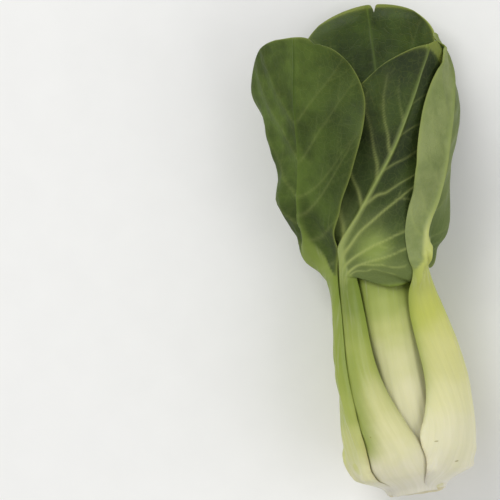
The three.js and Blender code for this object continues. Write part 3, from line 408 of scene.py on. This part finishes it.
def leaf_mesh(leaf, number):
    fine = 4 if leaf["blade"] > 24 else 3
    along, across, blade, u, row = layout(leaf, 1)
    angle, s, rest = rest_net(leaf, number, along, across, blade, u)
    push = drape(angle, s, rest)

    along, across, blade, u, row = layout(leaf, fine)
    angle, s, rest = rest_net(leaf, number, along, across, blade, u)
    push = np.maximum(0, finer(finer(push, fine, 0), fine, 1))
    inner = rest + push
    inner += np.maximum(0, taken_at(angle, s) + 0.6 * NEAR - inner)
    held = 0.45 * smooth(np.abs(u), 0.7, 1.0) * smooth(push, 0.05, 0.5) * (1 - smooth(along, leaf["neck"] - 20, leaf["neck"]))

    # Shape that the plain solid leaves out.
    half = np.abs(across[:, -1:])
    to_edge = np.minimum(half - np.abs(across), 60.0)
    tip_edge = (leaf["tip"] - leaf["wide"]) * np.sqrt(1 - 0.5 * u * u) + leaf["wide"] - along
    to_edge = np.where(blade >= 1, np.minimum(to_edge, np.maximum(tip_edge, 0)), to_edge)
    in_blade = smooth(along, leaf["neck"] - 4, leaf["neck"] + 16)
    vein, near = vein_field(leaf, number, along, across)
    vein *= smooth(along, leaf["neck"] - 10, leaf["neck"] + 3) * smooth(to_edge, 0.2, 3.0)
    neck_half = float(curve(leaf["half"], leaf["neck"]))
    length = leaf["tip"] - leaf["neck"]
    wide = PAINT.get(leaf["name"], {}).get("rib", 1.0)
    reach = 0.7 * length if leaf["name"] == "right_leaf" else length
    rib_half = curve([[0, 30], [leaf["neck"] - 2, neck_half + 1.2], [leaf["neck"] + 0.04 * reach, 0.56 * neck_half], [leaf["neck"] + 0.09 * reach, 0.34 * neck_half], [leaf["neck"] + 0.16 * reach, 1.4 * wide], [leaf["neck"] + 0.4 * length, 0.9 * wide], [leaf["neck"] + 0.75 * length, 0.55 * wide], [leaf["tip"], 0.2]], along)
    rib_mask = np.exp(-((across / rib_half) ** 4))
    g = smooth(along, leaf["neck"] - 12, leaf["neck"] + 22)
    rib = curve(leaf["thick"], along)
    edge = np.sqrt(np.clip(to_edge / 1.1, 0, 1))
    body = 0.5 + (rib - 0.5) * np.maximum(0, 1 - np.abs(u) ** 2.1) ** 0.85
    sheet = 0.72 + (rib - 0.72) * np.exp(-((across / (0.35 + rib_half)) ** 2))
    thick = (body * (1 - g) + sheet * g) * (0.42 + 0.58 * edge)

    take(angle.ravel(), s.ravel(), (inner + thick + 0.2).ravel())

    inner = inner - held

    # The feet grow together with the crown.
    foot = 1 - smooth(along, leaf["base"], leaf["base"] + 7)
    inner = inner - np.maximum(0, inner - (12.0 + 0.35 * s)) * foot
    thick = thick * (1 - 0.7 * foot)

    ribs = 0.08 * np.cos(2 * math.pi * (across / 3.1 + 0.12 * np.sin(along / 17 + number))) * (1 - g) * smooth(to_edge, 1, 4) * smooth(along, 8, 26)
    lumps = 0.35 * wobble(50 + number, across, along, 26, 60) * smooth(along, 20, 60)
    puff = in_blade * 0.75 * (1 - np.exp(-((near / 3.4) ** 2))) * smooth(to_edge, 0.5, 6)
    ruffle = in_blade * np.exp(-to_edge / 5.0) * 0.75 * wobble(80 + number, 0 * across + 40 * np.sign(u), along + 0.6 * np.abs(across), 13, 26, 4)
    move = lumps * (0.4 + 0.6 * in_blade) - puff + ruffle
    outer_r = inner + thick + move + ribs + 0.42 * vein * in_blade * (1 - rib_mask)
    inner_r = inner + move + 0.16 * vein * in_blade * (1 - rib_mask) + 0.25 * rib_mask * in_blade * smooth(leaf["tip"] - along, 0, 40)

    # The colour guides.
    shift = 0.5 * wobble(120 + number, across, along, 9, 24, 4) * smooth(rib_half, 1.0, 4.0)
    green = smooth(np.abs(across) + shift, rib_half - 0.6, rib_half + 0.8) * smooth(along, leaf["neck"] - 9, leaf["neck"] - 3)
    guides = {"lf_across": across / 10, "lf_along": along / 10, "lf_green": green, "lf_vein": np.clip(vein, 0, 1), "lf_edge": np.exp(-to_edge / 0.55), "lf_near": np.exp(-near / 2.2), "lf_up": (along - leaf["base"]) / (leaf["neck"] - leaf["base"]), "lf_rim": np.exp(-to_edge / 2.2)}

    nv, nu = along.shape
    co = np.concatenate([lie(angle, s, inner_r, 0.45).reshape(-1, 3), lie(angle, s, outer_r, 0.0).reshape(-1, 3)])
    index = np.arange(nv * nu).reshape(nv, nu)
    low, high = index, index + nv * nu
    a, b, c, d = low[:-1, :-1], low[1:, :-1], low[1:, 1:], low[:-1, 1:]
    faces = [np.stack([a, b, c, d], -1).reshape(-1, 4)]
    a, b, c, d = high[:-1, :-1], high[:-1, 1:], high[1:, 1:], high[1:, :-1]
    faces.append(np.stack([a, b, c, d], -1).reshape(-1, 4))
    faces.append(np.stack([low[:-1, 0], high[:-1, 0], high[1:, 0], low[1:, 0]], -1))
    faces.append(np.stack([low[:-1, -1], low[1:, -1], high[1:, -1], high[:-1, -1]], -1))
    faces.append(np.stack([low[0, :-1], low[0, 1:], high[0, 1:], high[0, :-1]], -1))
    faces.append(np.stack([low[-1, :-1], high[-1, :-1], high[-1, 1:], low[-1, 1:]], -1))
    # Both faces of the leaf side by side, and the margin in narrow strips between them.
    uu, vv = (u + 1) / 2, row / (nv - 1)
    flat_low = np.stack([0.015 + 0.465 * uu, 0.02 + 0.96 * vv], -1).reshape(-1, 2)
    flat_high = np.stack([0.985 - 0.465 * uu, 0.02 + 0.96 * vv], -1).reshape(-1, 2)
    flat = np.concatenate([flat_low, flat_high])
    maps = [flat[f] for f in faces]
    for f, m, x in ((2, maps[2], 0.992), (3, maps[3], 0.5)):
        shift = 0.006 if f == 2 else -0.006
        rows = vv.reshape(-1)
        y = 0.02 + 0.96 * np.where(faces[f] >= nv * nu, rows[faces[f] % (nv * nu)], rows[faces[f] % (nv * nu)])
        is_high = faces[f] >= nv * nu
        maps[f] = np.stack([np.where(is_high, x - abs(shift) * 0.4, x + abs(shift) * 0.4), y], -1)
    cols = uu.reshape(-1)
    for f, y in ((4, 0.008), (5, 0.992)):
        x = 0.015 + 0.465 * cols[faces[f] % (nv * nu)]
        is_high = faces[f] >= nv * nu
        maps[f] = np.stack([x, np.where(is_high, y + 0.004, y - 0.004)], -1)
    sides = np.concatenate([np.zeros(nv * nu), np.ones(nv * nu)])
    guides = {k: np.concatenate([v.reshape(-1)] * 2) for k, v in guides.items()}
    guides["lf_side"] = sides
    return make_object(leaf["name"] + "_look", co, np.concatenate(faces), np.concatenate(maps), guides)


def make_object(name, co, faces, flat, guides):
    me = bpy.data.meshes.new(name)
    me.vertices.add(len(co))
    me.vertices.foreach_set("co", np.ascontiguousarray(co, np.float32).ravel())
    me.loops.add(faces.size)
    me.loops.foreach_set("vertex_index", np.ascontiguousarray(faces, np.int32).ravel())
    me.polygons.add(len(faces))
    me.polygons.foreach_set("loop_start", np.arange(0, faces.size, faces.shape[1], dtype=np.int32))
    me.update(calc_edges=True)
    me.validate()
    me.polygons.foreach_set("use_smooth", np.ones(len(me.polygons), bool))
    layer = me.uv_layers.new(name="OFBake")
    layer.data.foreach_set("uv", np.ascontiguousarray(flat, np.float32).ravel())
    for key, values in guides.items():
        at = me.attributes.new(key, "FLOAT", "POINT")
        at.data.foreach_set("value", np.ascontiguousarray(values, np.float32))
    me.update()
    ob = bpy.data.objects.new(name, me)
    bpy.context.scene.collection.objects.link(ob)
    return ob


# --------------------------------------------------------------- materials
def linear(rgb):
    out = []
    for v in rgb:
        v /= 255.0
        out.append(v / 12.92 if v <= 0.04045 else ((v + 0.055) / 1.055) ** 2.4)
    return (*out, 1.0)


class Graph:
    """A small helper for node trees."""

    def __init__(self, name):
        self.mat = bpy.data.materials.new(name)
        self.mat.use_nodes = True
        self.tree = self.mat.node_tree
        self.tree.nodes.clear()
        self.column = 0

    def node(self, kind, **settings):
        n = self.tree.nodes.new(kind)
        self.column += 1
        n.location = (self.column % 12 * 190, -(self.column // 12) * 320)
        for k, v in settings.items():
            setattr(n, k, v)
        return n

    def put(self, socket, value):
        if hasattr(value, "is_output"):
            self.tree.links.new(value, socket)
        else:
            socket.default_value = value

    def guide(self, name):
        return self.node("ShaderNodeAttribute", attribute_name=name).outputs["Fac"]

    def math(self, op, a, b=0.0, c=None, clamp=False):
        n = self.node("ShaderNodeMath", operation=op, use_clamp=clamp)
        self.put(n.inputs[0], a)
        self.put(n.inputs[1], b)
        if c is not None:
            self.put(n.inputs[2], c)
        return n.outputs[0]

    def mix(self, fac, a, b, blend="MIX"):
        n = self.node("ShaderNodeMix", data_type="RGBA", blend_type=blend)
        self.put(n.inputs["Factor"], fac)
        self.put(n.inputs["A"], a)
        self.put(n.inputs["B"], b)
        return next(o for o in n.outputs if o.type == "RGBA")

    def ramp(self, fac, stops):
        n = self.node("ShaderNodeValToRGB")
        n.color_ramp.interpolation = "EASE"
        while len(n.color_ramp.elements) < len(stops):
            n.color_ramp.elements.new(0.5)
        for e, (at, colour) in zip(n.color_ramp.elements, stops):
            e.position = at
            e.color = colour
        self.put(n.inputs["Fac"], fac)
        return n.outputs["Color"]

    def span(self, value, a, b, c=0.0, d=1.0):
        n = self.node("ShaderNodeMapRange", interpolation_type="SMOOTHSTEP")
        for k, v in zip(("Value", "From Min", "From Max", "To Min", "To Max"), (value, a, b, c, d)):
            self.put(n.inputs[k], v)
        return n.outputs["Result"]

    def vector(self, x, y, z):
        n = self.node("ShaderNodeCombineXYZ")
        for k, v in zip("XYZ", (x, y, z)):
            self.put(n.inputs[k], v)
        return n.outputs[0]

    def noise(self, vector, scale, detail=3.0, rough=0.55, warp=0.0):
        n = self.node("ShaderNodeTexNoise")
        self.put(n.inputs["Vector"], vector)
        n.inputs["Scale"].default_value = scale
        n.inputs["Detail"].default_value = detail
        n.inputs["Roughness"].default_value = rough
        n.inputs["Distortion"].default_value = warp
        return n.outputs["Fac"]

    def cells(self, vector, scale, feature="DISTANCE_TO_EDGE", out="Distance"):
        n = self.node("ShaderNodeTexVoronoi", feature=feature)
        self.put(n.inputs["Vector"], vector)
        n.inputs["Scale"].default_value = scale
        return n.outputs[out]

    def finish(self, colour, rough, height, strength, distance, sss, spec=0.45):
        bump = self.node("ShaderNodeBump")
        bump.inputs["Strength"].default_value = strength
        bump.inputs["Distance"].default_value = distance
        self.put(bump.inputs["Height"], height)
        p = self.node("ShaderNodeBsdfPrincipled")
        self.put(p.inputs["Base Color"], colour)
        self.put(p.inputs["Roughness"], rough)
        self.put(p.inputs["Normal"], bump.outputs[0])
        p.inputs["Specular IOR Level"].default_value = spec
        p.inputs["Subsurface Weight"].default_value = sss
        p.inputs["Subsurface Radius"].default_value = (1.0, 0.9, 0.35)
        p.inputs["Subsurface Scale"].default_value = 0.0022
        out = self.node("ShaderNodeOutputMaterial")
        self.tree.links.new(p.outputs[0], out.inputs["Surface"])
        return self.mat


def leaf_material(name, number):
    paint = PAINT.get(name, {})
    inside = paint.get("in", GREEN_IN)
    outside = paint.get("out", GREEN_OUT)
    show = paint.get("vein", 0.5)
    g = Graph(name + "_skin")
    across, along, side = g.guide("lf_across"), g.guide("lf_along"), g.guide("lf_side")
    green, vein, margin, up, near, rim = (g.guide("lf_" + k) for k in ("green", "vein", "edge", "up", "near", "rim"))
    shift = g.math("MULTIPLY_ADD", side, 3.7, 11.0 * number)
    place = g.vector(across, along, shift)
    broad = g.noise(place, 0.5, 3.0, 0.5)
    medium = g.noise(place, 2.2, 4.0, 0.6)
    fine = g.noise(place, 11.0, 3.0, 0.6)
    streak = g.noise(g.vector(g.math("MULTIPLY", across, 6.5), g.math("MULTIPLY", along, 0.3), shift), 1.0, 4.0, 0.6)
    # The net of small veins.
    warp = g.math("MULTIPLY_ADD", medium, 0.25, across)
    net = g.cells(g.vector(warp, g.math("MULTIPLY_ADD", fine, 0.05, along), shift), 3.4)
    net = g.span(net, 0.0, 0.07, 1.0, 0.0)
    small = g.cells(g.vector(warp, along, shift), 11.0)
    small = g.span(small, 0.0, 0.09, 1.0, 0.0)

    # Blade.
    tone = g.span(g.math("MULTIPLY_ADD", medium, 0.3, g.math("MULTIPLY", broad, 0.8)), 0.36, 0.74)
    upper = g.mix(tone, linear(inside[0]), linear(inside[1]))
    under = g.mix(tone, linear(outside[0]), linear(outside[1]))
    # Painted shade: one half of the under face darkened towards a shade colour; on the right leaf it fades to half
    # strength further up the blade.
    if "shaded_half" in paint:
        amount, dark, low, high = paint["shaded_half"]
        half = g.math("MULTIPLY", g.span(across, -0.02, 0.14) if high else g.span(across, -0.5, 2.4), amount)
        if high:
            half = g.math("MULTIPLY", half, g.span(up, low, high, 1.0, 0.5))
        under = g.mix(half, under, linear(dark))
    if "young_foot" in paint:
        amount, tint = paint["young_foot"]
        foot = g.math("MULTIPLY", g.span(g.math("MULTIPLY_ADD", broad, 0.25, up), 1.26, 1.5, 1.0, 0.0), amount)
        under = g.mix(foot, under, linear(tint))
    # Painted light: a paler round patch on the under face, as a pool of light on the blade.
    if "painted_glow" in paint:
        x, y, size, tint = paint["painted_glow"]
        away = g.math("ADD", g.math("POWER", g.math("SUBTRACT", across, x / 10), 2.0), g.math("POWER", g.math("SUBTRACT", along, y / 10), 2.0))
        away = g.math("MULTIPLY_ADD", g.math("SUBTRACT", medium, 0.5), 0.5, g.math("SQRT", away))
        under = g.mix(g.span(away, 0.1, size / 10, 0.9, 0.0), under, linear(tint))
    blade = g.mix(side, upper, under)
    pale = g.mix(0.55, linear(RIB), blade)
    blade = g.mix(g.math("MULTIPLY", near, 0.16 * show), blade, pale)
    blade = g.mix(g.math("MULTIPLY", net, 0.07 + 0.05 * show), blade, pale)
    blade = g.mix(g.math("MULTIPLY", small, 0.05), blade, pale)
    blade = g.mix(g.math("MULTIPLY", fine, 0.16), blade, g.mix(1.0, blade, linear((150, 160, 120)), "MULTIPLY"))
    blade = g.mix(g.math("MULTIPLY", margin, 0.6), blade, linear((142, 154, 74)))
    # Stalk, from the cream foot to the green neck, and on into the midrib.
    way = g.math("MULTIPLY_ADD", g.math("SUBTRACT", broad, 0.5), 0.12, g.math("MULTIPLY", up, 0.5))
    stalk = g.ramp(way, [(at, linear(c)) for at, c in paint.get("stalk", STALK)])
    # The stalk's margins turn green from a little way up: partly the thin margins' own greener colour, partly painted
    # shade in the crevices between neighbouring stalks. A leaf's rim value widens this band.
    rim_tint_and_shade = g.math("MULTIPLY", g.math("MULTIPLY", g.math("POWER", rim, 1.0 / paint.get("rim", 1.0)), g.span(up, 0.12, 0.6)), 0.62)
    stalk = g.mix(rim_tint_and_shade, stalk, linear((118, 138, 46)))
    stalk = g.mix(g.span(streak, 0.36, 0.7, 0.0, 0.15), stalk, g.mix(1.0, stalk, linear((196, 204, 140)), "MULTIPLY"))
    stalk = g.mix(g.span(streak, 0.52, 0.78, 0.0, 0.16), stalk, linear((234, 231, 208)))
    # Painted shade: an olive-green band down the stalk's left flank, which lies in shade beside the leaf next to it.
    if "shaded_flank" in paint:
        amount, tint, low, high = paint["shaded_flank"]
        shaded_flank = g.math("MULTIPLY", g.span(g.math("MULTIPLY_ADD", medium, 0.2, g.math("MULTIPLY_ADD", up, -2.2, across)), low, high, amount, 0.0), g.math("MULTIPLY", g.span(up, 0.12, 0.26), g.span(up, 0.6, 0.8, 1.0, 0.0)))
        stalk = g.mix(shaded_flank, stalk, linear(tint))
    low_edge = g.math("MULTIPLY", g.math("MULTIPLY", margin, g.span(up, 0.08, 0.5, 0.3, 0.0)), g.span(medium, 0.4, 0.58))
    stalk = g.mix(low_edge, stalk, linear(BROWN))
    dot = g.cells(g.vector(across, g.math("MULTIPLY", along, 0.6), shift), 0.7, "F1")
    dot = g.math("MULTIPLY", g.span(g.math("MULTIPLY_ADD", fine, 0.07, dot), 0.06, 0.1, 1.0, 0.0), g.span(broad, 0.48, 0.56))
    stalk = g.mix(g.math("MULTIPLY", dot, 0.6), stalk, linear(BROWN))
    if "spot" in paint:
        x, y, size = paint["spot"]
        away = g.math("SQRT", g.math("ADD", g.math("POWER", g.math("SUBTRACT", across, x / 10), 2.0), g.math("POWER", g.math("SUBTRACT", along, y / 10), 2.0)))
        away = g.math("MULTIPLY_ADD", medium, 0.05, away)
        stalk = g.mix(g.span(away, size / 10 - 0.07, size / 10 + 0.06, 0.62, 0.0), stalk, linear((196, 200, 98)))
    for x, y, long, short in paint.get("marks", []):
        away = g.math("ADD", g.math("POWER", g.math("DIVIDE", g.math("SUBTRACT", across, x / 10), long / 10), 2.0), g.math("POWER", g.math("DIVIDE", g.math("SUBTRACT", along, y / 10), short / 10), 2.0))
        stalk = g.mix(g.span(g.math("MULTIPLY_ADD", fine, 0.5, away), 0.5, 1.4, 0.6, 0.0), stalk, linear((142, 130, 58)))
    colour = g.mix(green, stalk, blade)
    drawn = g.math("MULTIPLY", vein, g.math("MULTIPLY_ADD", green, 0.4 * show, 0.6 * show), clamp=True)
    colour = g.mix(drawn, colour, linear(RIB))
    # Gloss and fine relief.
    blade_rough = g.math("MULTIPLY_ADD", side, 0.05, 0.47)
    rough = g.math("MULTIPLY_ADD", green, g.math("SUBTRACT", blade_rough, 0.36), 0.36)
    rough = g.math("MULTIPLY_ADD", g.math("SUBTRACT", medium, 0.5), 0.25, rough)
    low = g.math("MULTIPLY", g.math("SUBTRACT", 1.0, green), g.math("MULTIPLY_ADD", streak, 0.7, g.math("MULTIPLY", fine, 0.3)))
    high = g.math("MULTIPLY", green, g.math("MULTIPLY_ADD", net, g.math("MULTIPLY_ADD", side, 0.7, -0.35), g.math("MULTIPLY", fine, 0.4)))
    return g.finish(colour, rough, g.math("ADD", low, high), 0.45, 0.0003, 0.14, 0.2)


def crown_material():
    g = Graph("crown_cut")
    r, turn, side = g.guide("cr_radius"), g.guide("cr_turn"), g.guide("cr_side")
    co = g.node("ShaderNodeTexCoord").outputs["Object"]
    fibre = g.noise(co, 420.0, 4.0, 0.65)
    patch = g.noise(co, 110.0, 3.0, 0.55)
    spokes = g.noise(g.vector(g.math("MULTIPLY", turn, 14.0), g.math("MULTIPLY", r, 1.6), 0.0), 1.0, 3.0, 0.6)
    where = g.math("MULTIPLY_ADD", g.math("SUBTRACT", patch, 0.5), 0.22, r)
    face = g.ramp(where, [(0.0, linear((226, 222, 202))), (0.42, linear((224, 219, 192))), (0.62, linear((206, 203, 158))), (0.7, linear((188, 186, 128))), (0.78, linear((214, 208, 172))), (0.93, linear((218, 210, 180))), (1.0, linear((208, 198, 160)))])
    face = g.mix(g.span(spokes, 0.45, 0.75, 0.0, 0.3), face, linear((182, 170, 120)))
    face = g.mix(g.span(patch, 0.56, 0.74, 0.0, 0.4), face, linear((178, 148, 98)))
    rind = g.mix(g.span(patch, 0.45, 0.65), linear((228, 223, 206)), linear((212, 210, 158)))
    rind = g.mix(g.span(fibre, 0.35, 0.7, 0.0, 0.5), rind, linear((232, 228, 214)))
    colour = g.mix(side, face, rind)
    rough = g.math("MULTIPLY_ADD", patch, 0.25, 0.5)
    height = g.math("MULTIPLY_ADD", spokes, 0.7, fibre)
    return g.finish(colour, rough, height, 0.6, 0.0005, 0.15, 0.35)


def crown_mesh():
    turns = 112
    theta = np.arange(turns) * 2 * math.pi / turns
    face_r = np.linspace(0.02, 1.0, 26)
    g = np.random.default_rng(5)
    lobes = sum(a * np.cos(n * theta + p) for n, a, p in zip((2, 3, 5, 7, 9), (0.35, 0.3, 0.25, 0.18, 0.1), g.uniform(0, 6.28, 5)))
    rim = 12.7 + lobes
    rows, radius_guide, side_guide = [], [], []
    for f in face_r:
        rough = 0.16 * np.sin(11 * theta + 3 * f) * f + 0.2 * np.sin(3 * theta + 9 * f) * f
        cup = 0.9 * math.exp(-((f / 0.55) ** 2)) * 0.6
        bevel = 1.5 * max(0.0, (f - 0.86) / 0.14) ** 2
        rows.append((theta, 0.35 + cup + rough * 0.6 + bevel, rim * f))
        radius_guide.append(np.full(turns, f))
        side_guide.append(np.zeros(turns))
    for s, k in ((2.3, 1.03), (2.9, 1.05), (3.6, 1.045), (4.6, 1.0), (6.2, 0.88), (8.0, 0.7), (10.5, 0.52), (13.0, 0.34), (16.0, 0.18)):
        rows.append((theta, np.full(turns, s) + 0.25 * np.sin(5 * theta + s), rim * k))
        radius_guide.append(np.full(turns, 1.0))
        side_guide.append(np.ones(turns))
    co = np.concatenate([lie(a, b, c, 0.0) for a, b, c in rows])
    n = len(rows)
    index = np.arange(n * turns).reshape(n, turns)
    nxt = np.roll(index, -1, 1)
    faces = np.stack([index[:-1], index[1:], nxt[1:], nxt[:-1]], -1).reshape(-1, 4)
    # The two ends close on a point each.
    start, end = len(co), len(co) + 1
    co = np.concatenate([co, lie(np.zeros(2), np.array([0.35 + 0.54, 17.0]), np.zeros(2), 0.0)])
    tri_a = np.stack([np.full(turns, start), index[0], nxt[0], np.full(turns, start)], -1)
    tri_b = np.stack([index[-1], np.full(turns, end), nxt[-1], index[-1]], -1)
    x, y = np.cos(theta), np.sin(theta)
    maps = []
    fall = np.concatenate([face_r * 0.2, 0.2 + 0.27 * np.linspace(0.05, 1, n - len(face_r))])
    flat = np.concatenate([np.stack([0.5 + fall[k] * x, 0.5 + fall[k] * y], -1) for k in range(n)] + [np.array([[0.5, 0.5], [0.98, 0.98]])])
    guides = {
        "cr_radius": np.concatenate(radius_guide + [np.array([0.0, 1.0])]),
        "cr_side": np.concatenate(side_guide + [np.array([0.0, 1.0])]),
        "cr_turn": np.concatenate([np.abs(theta / math.pi - 1)] * n + [np.array([0.0, 0.0])]),
    }
    me = bpy.data.meshes.new("crown_look")
    polys = [tuple(int(v) for v in f) for f in faces] + [tuple(int(v) for v in f[:3]) for f in tri_a] + [tuple(int(v) for v in f[:3]) for f in tri_b]
    me.from_pydata([tuple(c) for c in co], [], polys)
    me.validate()
    me.polygons.foreach_set("use_smooth", np.ones(len(me.polygons), bool))
    layer = me.uv_layers.new(name="OFBake")
    loops = np.empty(len(me.loops), np.int32)
    me.loops.foreach_get("vertex_index", loops)
    layer.data.foreach_set("uv", np.ascontiguousarray(flat[loops], np.float32).ravel())
    for key, values in guides.items():
        me.attributes.new(key, "FLOAT", "POINT").data.foreach_set("value", np.ascontiguousarray(values, np.float32))
    me.update()
    ob = bpy.data.objects.new("crown_look", me)
    bpy.context.scene.collection.objects.link(ob)
    return ob


# ------------------------------------------------------------------ the head
crown = crown_mesh()
crown.data.materials.append(crown_material())
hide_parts("crown")
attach(crown, "root")
for number, leaf in enumerate(LEAVES):
    ob = leaf_mesh(leaf, number)
    ob.data.materials.append(leaf_material(leaf["name"], number))
    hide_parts(leaf["name"])
    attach(ob, "root")

# ------------------------------------------------------- floor, light, camera
g = Graph("pale_floor")
grain = g.noise(g.node("ShaderNodeTexCoord").outputs["Object"], 60.0, 3.0, 0.5)
paper = g.mix(grain, linear((238, 238, 236)), linear((243, 243, 241)))
floor_skin = g.finish(paper, g.math("MULTIPLY_ADD", grain, 0.1, 0.8), grain, 0.04, 0.0003, 0.0, 0.2)
me = bpy.data.meshes.new("floor")
me.from_pydata([(-15, -15, 0), (15, -15, 0), (15, 15, 0), (-15, 15, 0)], [], [(0, 1, 2, 3)])
floor = bpy.data.objects.new("floor", me)
bpy.context.scene.collection.objects.link(floor)
floor.data.materials.append(floor_skin)

world = bpy.data.worlds.new("soft_room")
world.use_nodes = True
back = world.node_tree.nodes["Background"]
back.inputs["Color"].default_value = (1.0, 1.0, 1.0, 1.0)
back.inputs["Strength"].default_value = 0.55
bpy.context.scene.world = world


def lamp(name, place, aim, size, power):
    data = bpy.data.lights.new(name, "AREA")
    data.shape = "SQUARE"
    data.size = size
    data.energy = power
    ob = bpy.data.objects.new(name, data)
    ob.location = place
    ob.rotation_euler = (Vector(aim) - Vector(place)).to_track_quat("-Z", "Y").to_euler()
    bpy.context.scene.collection.objects.link(ob)


lamp("key", (-1.65, 1.8, 2.8), (0, 0, 0.02), 2.0, 65.0)
lamp("fill", (2.5, -0.83, 2.3), (0, 0, 0.02), 2.6, 28.5)

K = 0.4388  # millimetres for one pixel of the picture, at the head's middle height
PLANE = 0.042
FOCAL = 500.0
aim_x = (HEAD_X + (250 - 417.5) * K) * 0.001
aim_y = (HEAD_Y + (495 - 250) * K) * 0.001
cam = bpy.data.cameras.new("camera")
cam.lens = FOCAL
cam.sensor_width = 36.0
cam.clip_start = 0.01
cam.clip_end = 20.0
cam_ob = bpy.data.objects.new("camera", cam)
cam_ob.location = (aim_x, aim_y, PLANE + 500 * K * 0.001 * FOCAL / 36.0)
cam_ob.rotation_euler = (0, 0, 0)
bpy.context.scene.collection.objects.link(cam_ob)
bpy.context.scene.camera = cam_ob
bpy.context.scene.view_settings.view_transform = "Standard"
